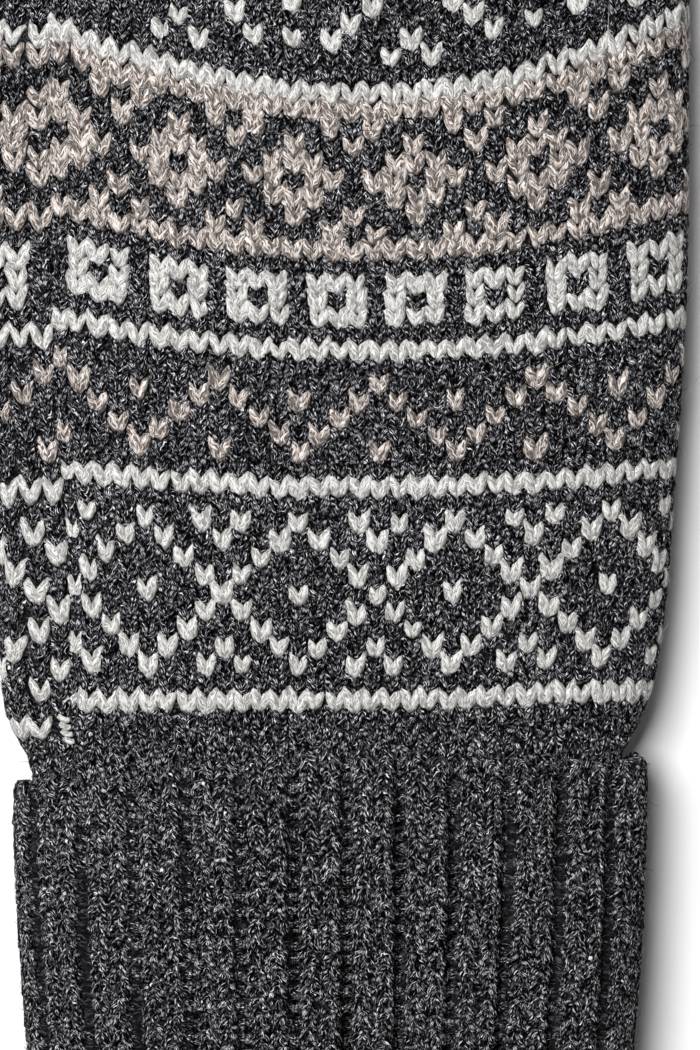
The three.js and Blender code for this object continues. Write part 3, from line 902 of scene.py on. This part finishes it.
def hand_map(columns, rows, own_column=None):
    """Points and outward directions on the hand at columns and rows, whole or not."""
    own_column = columns if own_column is None else own_column
    height = np.interp(rows, ROW_MARKS, ROW_HEIGHTS)
    shifted = columns + waves(columns, rows, 3)
    rise = row_rise(rows, columns, own_column, height)
    return hand.at(height + rise + 0.6 * waves(columns, rows, 4), column_turn(shifted, height))


def stitch_legs(mapping, columns, rows, shape, wale, row_height, sink=0):
    """Spines, directions and widths for both legs of each stitch."""
    count = len(columns)
    size = dice.normal(1, 0.075, (count, 1, 1))
    shift = dice.normal(0, 0.045, (count, 1, 2))
    tilt = dice.normal(0, 0.05, (count, 1, 1))
    stretch = shape["across"][-1] / LEG_FINE["across"][-1]
    across = np.array(shape["across"])[None, None] * size * np.array([-1, 1])[None, :, None]
    along = np.array(shape["along"])[None, None] * size * np.ones((1, 2, 1))
    legs = dice.normal(1, 0.09, (count, 2, 1))
    bow = dice.normal(0, 0.025, (count, 2, across.shape[2]))
    c = columns[:, None, None] + across + (shift[:, :, :1] + tilt * along + bow) * stretch
    r = rows[:, None, None] + along * legs - tilt * across + shift[:, :, 1:]
    own = np.broadcast_to(columns[:, None, None], c.shape).reshape(-1, c.shape[2])
    point, normal = mapping(c.reshape(-1, c.shape[2]), r.reshape(-1, r.shape[2]), own)
    sunk = np.array(shape["sunk"])[None] + YARN_DEPTH + sink
    plump = size * dice.normal(1, 0.09, (count, 2, 1))
    width = (np.array(shape["wide"])[None, None] * plump).reshape(-1, len(shape["wide"]))
    spine = point - normal * sunk[..., None]
    return spine, normal, LEG_HALF_WIDTH * width * wale, LEG_HALF_HEIGHT * width ** 0.6 * row_height


def knit(yarns, fuzz, mapping, columns, rows, colours, shape, wale=1.0, lofty=1.0, sink=0, hairs=0.0,
         naps=None, nap_share=0.0):
    """Adds stitches to the yarn of each colour, with fibres on some of them."""
    for index, colour in enumerate(COLOURS):
        chosen = colours == index
        if not chosen.any():
            continue
        spine, normal, wide, high = stitch_legs(
            mapping, columns[chosen], rows[chosen], shape, wale, lofty, sink
        )
        fullness = LIGHT_FULLNESS if index else 1.0
        swept = yarns[colour].add(spine, normal, wide * fullness, high, shape["angles"])
        if hairs:
            fuzz[colour].add(swept, hairs, 1.25, 0.034, 0.16, 0.5)
            above = swept[3][:, 0, 2] > 0.75
            fuzz[colour].add([part[above] for part in swept], hairs * LONG_HAIRS, 3.2, 0.036, 0.07, 1.1)
        if naps:
            naps[colour].add(swept, nap_share, 0.95, 0.037, 0.3)


LONG_HAIRS = 0.04


def new_yarns():
    return {colour: Yarn() for colour in COLOURS}


def new_fuzz():
    return {colour: Fuzz() for colour in COLOURS}


def new_naps():
    return {colour: Nap() for colour in COLOURS}


hand = hand_tube()
thumb = thumb_tube()
cuff, cuff_lengths = cuff_tube()
FRONT_ROWS = 41
columns_all = np.arange(-34, -34 + HAND_WALES)
rows_all = np.arange(-6, 50)
grid_columns, grid_rows = [a.ravel().astype(float) for a in np.meshgrid(columns_all, rows_all)]


def in_thumb(point, margin=0.0):
    """Whether points lie inside the thumb's outer form."""
    line, lengths = thumb_line(80)
    away = np.linalg.norm(point[:, None, :2] - line[None], axis=2)
    nearest = away.argmin(axis=1)
    share = lengths[nearest] / lengths[-1]
    half = THUMB_WIDTH / 2 * follow(THUMB_ALONG, THUMB_WIDE, share)
    height = THUMB_HEIGHT * follow(THUMB_ALONG, THUMB_HIGH, share)
    x = np.clip(away.min(axis=1) / half, 0, 1)
    level = FINGER_EDGE_LEVEL * height
    inside = (point[:, 2] < upper_side(x, level, height) - margin) & (
        point[:, 2] > lower_side(x, level, 0) + margin
    )
    return inside & (away.min(axis=1) < half - margin) & (nearest > 0)


def in_hand(point, margin=0.0):
    """Whether points lie inside the hand's outer form."""
    y = np.clip(point[:, 1], 0, HAND_LENGTH)
    half = hand_half(y)
    share = np.clip(point[:, 0] / half, -1, 1)
    top = hand_section(y, share, np.ones(len(y), bool))
    bottom = hand_section(y, share, np.zeros(len(y), bool))
    return (
        (np.abs(point[:, 0]) < half - margin)
        & (point[:, 2] < top - margin)
        & (point[:, 2] > bottom + margin)
        & (point[:, 1] < HAND_LENGTH)
    )


WRAP_COLUMN = -13.0


def wrap_join(yarn):
    """Turns of yarn wrapped across the seam where the first row meets its own end."""
    steps = np.array([-0.36, -0.15, 0.1, 0.33])
    bow = np.array([0.12, -0.02, -0.1, -0.04])
    turns = np.arange(4)[:, None]
    columns = WRAP_COLUMN + 0.2 + steps + 0.05 * turns
    rows = 0.62 - 0.4 * turns + bow
    point, normal = hand_map(columns, rows, np.full(columns.shape, WRAP_COLUMN))
    width = np.ones((4, 1)) * np.array([0.36, 0.44, 0.44, 0.36])
    yarn.add(point - normal * 0.2, normal, width, width, LEG_PLAIN["angles"])


def knit_hand():
    point, normal = hand_map(grid_columns, grid_rows)
    share = point[:, 0] / hand_half(np.clip(point[:, 1], 0, HAND_LENGTH))
    kept = (point[:, 1] < fork_at(share) - 0.4) & (point[:, 1] > -7) & ~in_thumb(point, 0.8)
    kept &= (grid_columns != WRAP_COLUMN) | (grid_rows != 0)
    columns, rows = grid_columns[kept], grid_rows[kept]
    up = normal[kept][:, 2] > -0.2
    colours = colours_of(rows, columns)
    sunken = np.where(columns == SEAM_COLUMN, np.where(rows < 13, 0.7, 0.3), 0.0)
    near = up & (rows <= FRONT_ROWS)
    back, palm, far = new_yarns(), new_yarns(), new_yarns()
    back_fuzz, palm_fuzz, naps = new_fuzz(), new_fuzz(), new_naps()
    for seam in (0.0, 0.3, 0.7):
        at_seam = sunken == seam
        pick = near & at_seam
        knit(back, back_fuzz, hand_map, columns[pick], rows[pick], colours[pick], LEG_FINE,
             sink=seam, hairs=1.2, naps=naps, nap_share=2.2)
        pick = up & ~near & at_seam
        knit(far, palm_fuzz, hand_map, columns[pick], rows[pick], colours[pick], LEG_PLAIN,
             sink=seam, hairs=0.3)
    pick = ~up
    knit(palm, palm_fuzz, hand_map, columns[pick], rows[pick], colours[pick], LEG_UNDER, hairs=0.25)
    wrap_join(back[WHITE])
    for colour in COLOURS:
        word = colour.split("_")[0]
        finish_yarn(back[colour], f"back_stitches_{word}", colour, YARNS[colour], "hand")
        finish_yarn(far[colour], f"knuckle_stitches_{word}", colour, YARNS[colour], "hand")
        finish_yarn(palm[colour], f"palm_stitches_{word}", colour, YARNS[colour], "hand")
        finish_nap(naps[colour], f"back_nap_{word}", colour, FIBRES[colour], "hand")
        if back_fuzz[colour].points:
            finish_fuzz(back_fuzz[colour], f"back_fibres_{word}", colour, FIBRES[colour], "hand")
        if palm_fuzz[colour].points:
            finish_fuzz(palm_fuzz[colour], f"palm_fibres_{word}", colour, FIBRES[colour], "hand")


TIP_LEGS = 9


def gather_tip(tube, yarns, fuzz):
    """Stitches drawn together over the round end of a finger."""
    last = np.full(TIP_LEGS, tube.places[-1])
    rim, outward = tube.at(last, np.arange(TIP_LEGS) / TIP_LEGS)
    middles = tube.rings[-2:].mean(axis=1)
    axis = (middles[1] - middles[0]) / np.linalg.norm(middles[1] - middles[0])
    inward = np.array([-0.25, 0.2, 0.6, 0.92])
    bulge = np.array([-0.9, 0.1, 0.45, 0.4])
    spine = mix(rim[:, None], middles[1], inward[:, None]) + axis * bulge[:, None]
    normal = mix(outward[:, None], axis, smooth(inward + 0.4)[:, None])
    normal /= np.linalg.norm(normal, axis=2, keepdims=True)
    wide = np.ones((TIP_LEGS, 1)) * np.array([0.95, 1.0, 0.75, 0.4])
    swept = yarns[CHARCOAL].add(spine, normal, wide, 0.6 * wide ** 0.5, LEG_PLAIN["angles"])
    fuzz[CHARCOAL].add(swept, 1.0, 1.1, 0.034, 0.2, 0.6)


def knit_tube(name, tube, wales, first, last, outside, node, hairs=0.3):
    """Plain charcoal stitches round a tube, with half the wales near its tip."""
    yarns, fuzz = new_yarns(), new_fuzz()
    narrow = last - 7.0
    for count, low, high, scale in ((wales, first, narrow, 1.0), (wales // 2, narrow, last, 1.15)):
        places = np.arange(low, high, ROW) if scale == 1.0 else np.arange(low, high, ROW * 0.9)
        columns, starts = [a.ravel() for a in np.meshgrid(np.arange(count).astype(float), places)]

        def mapping(c, p, count=count):
            return tube.at(p, c / count)

        def in_rows(c, r, own):
            return mapping(c, r * ROW)

        point, normal = mapping(columns, starts)
        facing = normal[:, 2]
        kept = outside(point)
        width = np.clip(tube.round_at(starts) / count / WALE, 0.5, scale)
        for part in np.array_split(np.argsort(width[kept], kind="stable"), 6):
            if not len(part):
                continue
            lower = facing[kept][part] < 0
            for pick, shape in ((~lower, LEG_PLAIN), (lower, LEG_UNDER)):
                knit(yarns, fuzz, in_rows, columns[kept][part][pick], starts[kept][part][pick] / ROW,
                     np.zeros(pick.sum(), int), shape, wale=float(width[kept][part].mean()),
                     hairs=hairs)
    gather_tip(tube, yarns, fuzz)
    finish_yarn(yarns[CHARCOAL], f"{name}_stitches", CHARCOAL, charcoal, node)
    if fuzz[CHARCOAL].points:
        finish_fuzz(fuzz[CHARCOAL], f"{name}_fibres", CHARCOAL, charcoal_fibre, node)


def knit_fingers():
    tubes = {}
    for lobe in lobes:
        tube = finger_tube(lobe)
        tubes[lobe["name"]] = tube
        fork = HAND_LENGTH - lobe["dropped"] * LITTLE_DROP
        wales = 2 * round(tube.round_at(fork + 20) / WALE / 2)
        knit_tube(f"{lobe['name']}_finger", tube, wales, fork + 0.8, tube.places[-1] - 0.6,
                  lambda point: np.ones(len(point), bool), f"{lobe['name']}_finger")
    return tubes


def knit_thumb():
    wales = 2 * round(thumb.round_at(40) / WALE / 2)
    knit_tube("thumb", thumb, wales, 1.0, thumb.places[-1] - 0.6,
              lambda point: ~in_hand(point, 0.9), "thumb")


# The cuff's ribs: two knit wales, then a sunken purl channel.
CUFF_ROW = 2.02
CAST_ROW = 2.1
FOLD_ROW = 31.0
INNER_ROWS = 6
COLUMN_SHARE = 0.413
KNIT_PLACES = (0.298, 0.702)


def cuff_map(columns, rows, own_column=None):
    """Columns count ribs, from the crown towards -x; rows run from the free edge to the fold."""
    turn = (columns / RIB_COUNT) - RIB_ORIGIN / cuff_round
    lean = 0.02 * np.sin(rows * 0.35 + columns * 1.7) + 0.02 * np.sin(rows * 0.13 + columns)
    return cuff.at(rows * CUFF_ROW, turn + lean / RIB_COUNT)


def knit_cuff():
    narrow = {shape: shrunk(kind) for shape, kind in
              (("fine", LEG_FINE), ("plain", LEG_PLAIN), ("under", LEG_UNDER))}
    last_inner = FOLD_ROW + INNER_ROWS
    over, under = np.arange(CAST_ROW, FOLD_ROW), np.arange(CAST_ROW, last_inner)
    yarns, fuzz, naps = new_yarns(), new_fuzz(), new_naps()
    under_yarns, under_fuzz = new_yarns(), new_fuzz()
    for place in KNIT_PLACES:
        ribs, at = [a.ravel().astype(float) for a in np.meshgrid(np.arange(RIB_COUNT), under)]
        columns = ribs + place
        _, normal = cuff_map(columns, at)
        up = (normal[:, 2] > -0.1) & (at < FOLD_ROW)
        for pick, shape, into, bag, hairs in (
            (up, narrow["fine"], yarns, fuzz, 1.1),
            (~up & (at < FOLD_ROW), narrow["under"], under_yarns, under_fuzz, 0.3),
            (at >= FOLD_ROW, narrow["under"], under_yarns, under_fuzz, 0.1),
        ):
            fine = into is yarns
            knit(into, bag, cuff_map, columns[pick], at[pick], np.zeros(pick.sum(), int), shape,
                 wale=1.04, hairs=hairs, naps=naps if fine else None, nap_share=2.2)
    purl_bumps(over, fuzz[CHARCOAL])
    finish_yarn(yarns[CHARCOAL], "cuff_stitches", CHARCOAL, charcoal, "cuff")
    finish_yarn(under_yarns[CHARCOAL], "cuff_under_stitches", CHARCOAL, charcoal, "cuff")
    finish_nap(naps[CHARCOAL], "cuff_nap", CHARCOAL, charcoal_fibre, "cuff")
    finish_fuzz(fuzz[CHARCOAL], "cuff_fibres", CHARCOAL, charcoal_fibre, "cuff")
    finish_fuzz(under_fuzz[CHARCOAL], "cuff_under_fibres", CHARCOAL, charcoal_fibre, "cuff")


def shrunk(shape):
    """A leg's shape in ribs instead of wales."""
    return {**shape, "across": tuple(a * COLUMN_SHARE for a in shape["across"])}


def purl_bumps(rows, fuzz):
    """Short arcs of yarn across the floor of each channel."""
    yarn = Yarn()
    ribs, at = [a.ravel().astype(float) for a in np.meshgrid(np.arange(RIB_COUNT), rows)]
    across = np.array([-0.12, 0.0, 0.12])
    bow = np.array([-0.2, 0.12, -0.2])
    jitter = dice.normal(0, 0.09, (len(ribs), 1))
    point, normal = cuff_map(ribs[:, None] + across, at[:, None] + bow + jitter)
    spine = point - normal * (YARN_DEPTH + 0.34 + dice.normal(0, 0.1, (len(ribs), 1, 1)))
    size = dice.normal(1.04, 0.08, (len(ribs), 1)) * np.array([0.85, 1, 0.85])
    swept = yarn.add(spine, normal, 0.95 * size, 0.5 * size, LEG_UNDER["angles"])
    above = swept[3][:, 0, 2] > 0
    fuzz.add([part[above] for part in swept], 2.0, 1.1, 0.034, 0.25, 0.9)
    finish_yarn(yarn, "cuff_purl_bumps", CHARCOAL, charcoal, "cuff")


# The base cloth under the stitches: the charcoal behind them, coloured darker than the stitches' yarn as painted
# shade in the gaps.
def skin(tube, places, turns, depth):
    place, turn = np.meshgrid(places, turns, indexing="ij")
    point, normal = tube.at(place, turn)
    return point - normal * depth, place


def hollow(name, tube, places, node, closed_end=False, count=120, shape_end=None):
    """A closed skin between two depths under a tube's surface."""
    turns = np.arange(count) / count
    outer, _ = skin(tube, places, turns, BASE_DEPTH)
    inner, _ = skin(tube, places, turns, BASE_INNER)
    if shape_end is not None:
        outer, inner = shape_end(outer), shape_end(inner)
    rings = [*outer]
    if closed_end:
        rings.append(None)
    points = [*outer, *inner[::-1]]
    faces = []
    total = len(points)
    stack = np.concatenate(points)
    a = np.arange(count)
    b = (a + 1) % count
    for i in range(total):
        j = (i + 1) % total
        if closed_end and i == len(outer) - 1:
            continue
        faces.append(np.stack([i * count + a, i * count + b, j * count + b, j * count + a], -1))
    quads = [np.concatenate(faces)]
    if closed_end:
        tip_outer = outer[-1].mean(axis=0)
        tip_inner = inner[-1].mean(axis=0)
        first = len(stack)
        stack = np.concatenate([stack, tip_outer[None], tip_inner[None]])
        ring = (len(outer) - 1) * count
        quads.append(np.stack([ring + a, ring + b, np.full(count, first)], -1))
        ring = len(outer) * count
        quads.append(np.stack([ring + b, ring + a, np.full(count, first + 1)], -1))
    coords = stack * 0.8
    piece = make_mesh(name, stack, quads, coords)
    return dress(piece, CHARCOAL, base_cloth_painted_shade, node)


def base_layers(finger_tubes):
    def step_back(rings):
        shares = rings[..., 0] / PALM_WIDTH * 2.04
        drop = np.where(shares > little_edge, LITTLE_DROP, 0) * smooth((rings[..., 1] - 94) / 14)
        rings = rings.copy()
        rings[..., 1] -= drop
        return rings

    hollow("hand_base", hand, np.linspace(-3, HAND_LENGTH, 45), "hand", shape_end=step_back, count=144)
    for lobe in lobes:
        tube = finger_tubes[lobe["name"]]
        places = np.concatenate([tube.places[:1] + 1, np.linspace(tube.places[1], tube.places[-1] - 1.2, 24)])
        hollow(f"{lobe['name']}_finger_base", tube, places, f"{lobe['name']}_finger", closed_end=True, count=48)
    hollow("thumb_base", thumb, np.linspace(0.5, thumb.places[-1] - 1.2, 26), "thumb", closed_end=True, count=48)
    cuff_base()


def cuff_base():
    """The two layers of the cuff's cloth, as one closed ring under the stitches."""
    deep = CUFF_WALL + LAYER_GAP
    low = -CUFF_LENGTH
    profile = (
        (-2.2, 0.95, 0.4), (-1.4, 1.2, 0.2), (-1.3, 1.9, 0.0), (-2.0, 2.5, 0.0),
        (low + 4, 2.5, 0.0), (low + 4, deep, 0.0), (-3.6, deep, 0.0), (-3.6, 5.1, 0.0),
        (low + 3.2, 5.1, 0.0), (low + 1.5, 4.3, 0.0), (low + 0.95, 3.0, 0.0), (low + 1.5, 1.7, 0.4),
        (low + 3.2, 0.95, 1.0), (-42.0, 0.95, 1.0), (-28.0, 0.95, 1.0), (-14.0, 0.95, 1.0),
        (-8.5, 0.95, 1.0), (-4.5, 0.95, 0.7),
    )
    rings = [cuff_ring(*row)[::2] for row in profile]
    count = len(rings[0])
    a = np.arange(count)
    b = (a + 1) % count
    faces = []
    for i in range(len(rings)):
        j = (i + 1) % len(rings)
        faces.append(np.stack([i * count + b, i * count + a, j * count + a, j * count + b], -1))
    stack = np.concatenate(rings)
    piece = make_mesh("cuff_base", stack, [np.concatenate(faces)], stack * 0.8)
    return dress(piece, CHARCOAL, base_cloth_painted_shade, "cuff")


knit_hand()
finger_tubes = knit_fingers()
knit_thumb()
knit_cuff()
base_layers(finger_tubes)


# Floor, light and camera.
FLOOR_SIZE = 3.0
LENS = 300.0
SENSOR = 36.0
PHOTO_HEIGHT = 0.1347
REFERENCE_HEIGHT = 0.013
PHOTO_MIDDLE = (0.00218, -0.0245)


def studio():
    scene = bpy.context.scene
    scene.view_settings.view_transform = "Standard"
    half = FLOOR_SIZE / 2
    floor_points = [(-half, -half, 0), (half, -half, 0), (half, half, 0), (-half, half, 0)]
    mesh = bpy.data.meshes.new("floor")
    mesh.from_pydata([(x, y, -0.0001) for x, y, _ in floor_points], [], [(0, 1, 2, 3)])
    floor = bpy.data.objects.new("floor", mesh)
    scene.collection.objects.link(floor)
    paper = bpy.data.materials.new("paper")
    paper.use_nodes = True
    shader = paper.node_tree.nodes["Principled BSDF"]
    shader.inputs["Base Color"].default_value = (0.895, 0.895, 0.895, 1)
    shader.inputs["Roughness"].default_value = 0.9
    shader.inputs["Specular IOR Level"].default_value = 0.1
    mesh.materials.append(paper)

    world = bpy.data.worlds.new("studio")
    scene.world = world
    world.use_nodes = True
    world.node_tree.nodes["Background"].inputs["Color"].default_value = (1, 1, 1, 1)
    world.node_tree.nodes["Background"].inputs["Strength"].default_value = 0.1

    def area(name, place, size, power):
        light = bpy.data.lights.new(name, "AREA")
        light.size = size
        light.energy = power
        lamp = bpy.data.objects.new(name, light)
        lamp.location = place
        scene.collection.objects.link(lamp)
        direction = -np.array(place)
        lamp.rotation_euler = (
            math.atan2(math.hypot(direction[0], direction[1]), -direction[2]),
            0,
            math.atan2(direction[1], direction[0]) - math.pi / 2,
        )

    area("key", (-0.34, 0.21, 1.0), 0.62, 17.0)

    camera_data = bpy.data.cameras.new("camera")
    camera_data.sensor_width = SENSOR
    camera_data.lens = LENS
    camera = bpy.data.objects.new("camera", camera_data)
    distance = LENS * PHOTO_HEIGHT / SENSOR
    camera.location = (*PHOTO_MIDDLE, distance + REFERENCE_HEIGHT)
    scene.collection.objects.link(camera)
    scene.camera = camera


studio()

for piece_name, triangles in made:
    print(piece_name, triangles)
print("total", sum(t for _, t in made))
